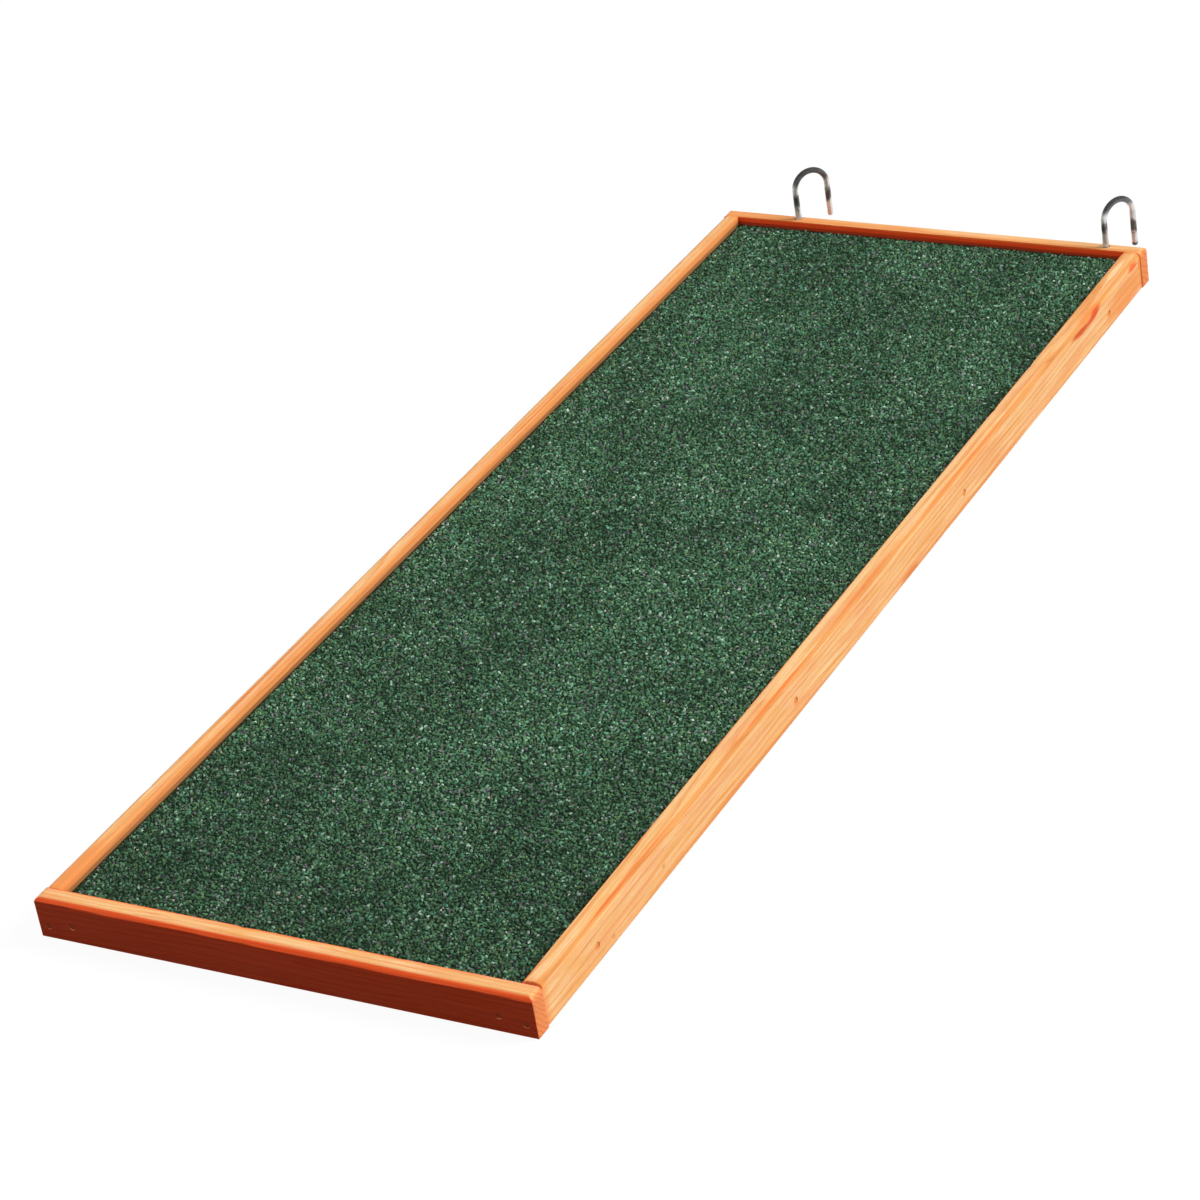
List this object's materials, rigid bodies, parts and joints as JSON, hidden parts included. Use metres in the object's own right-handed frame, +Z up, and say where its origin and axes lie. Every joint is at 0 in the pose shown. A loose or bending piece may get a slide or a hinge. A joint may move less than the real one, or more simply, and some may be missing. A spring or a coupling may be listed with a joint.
{
  "type": "pet ramp",
  "caption": "Small wooden hutch ramp: a nailed pine frame round a board covered with green mineral roofing felt, with wire screw hooks at the upper end.",
  "frame": {"origin": "on the floor, under the middle of the whole ramp with its hooks", "axes": "+X across the ramp, +Y along it towards the hooked upper end, +Z up out of the felt"},
  "size_m": [0.1808, 0.5102, 0.0352],
  "materials": {
    "glazed_pine": "thin orange wood glaze, satin, grain showing",
    "plywood": "bare plywood",
    "mineral_felt": "bitumen sheet surfaced with crushed green mineral granules",
    "bright_wire": "bright zinc plate",
    "nail_steel": "plain wire nails, glazed over"
  },
  "bodies": {
    "ramp_frame": {"side_rail_left": "glazed_pine", "side_rail_right": "glazed_pine", "end_rail_front": "glazed_pine", "end_rail_back": "glazed_pine", "base_board": "plywood", "mineral_felt": "mineral_felt", "corner_nail_front_left": "nail_steel", "corner_nail_front_right": "nail_steel", "corner_nail_back_left": "nail_steel", "corner_nail_back_right": "nail_steel", "board_nail_front_1": "nail_steel", "board_nail_front_2": "nail_steel", "board_nail_back_1": "nail_steel", "board_nail_back_2": "nail_steel", "board_nail_left_1": "nail_steel", "board_nail_left_2": "nail_steel", "board_nail_left_3": "nail_steel", "board_nail_left_4": "nail_steel", "board_nail_right_1": "nail_steel", "board_nail_right_2": "nail_steel", "board_nail_right_3": "nail_steel", "board_nail_right_4": "nail_steel"},
    "left_hook": {"screw_hook_left": "bright_wire"},
    "right_hook": {"screw_hook_right": "bright_wire"}
  },
  "joints": [
    {"name": "left_hook_turn", "type": "hinge", "parent": "ramp_frame", "child": "left_hook", "pos_m": [-0.0576, 0.24174, 0.015], "axis": [0, 0, 1], "range_deg": [-30, 110]},
    {"name": "right_hook_turn", "type": "hinge", "parent": "ramp_frame", "child": "right_hook", "pos_m": [0.075, 0.24174, 0.015], "axis": [0, 0, 1], "range_deg": [-40, 100]}
  ]
}
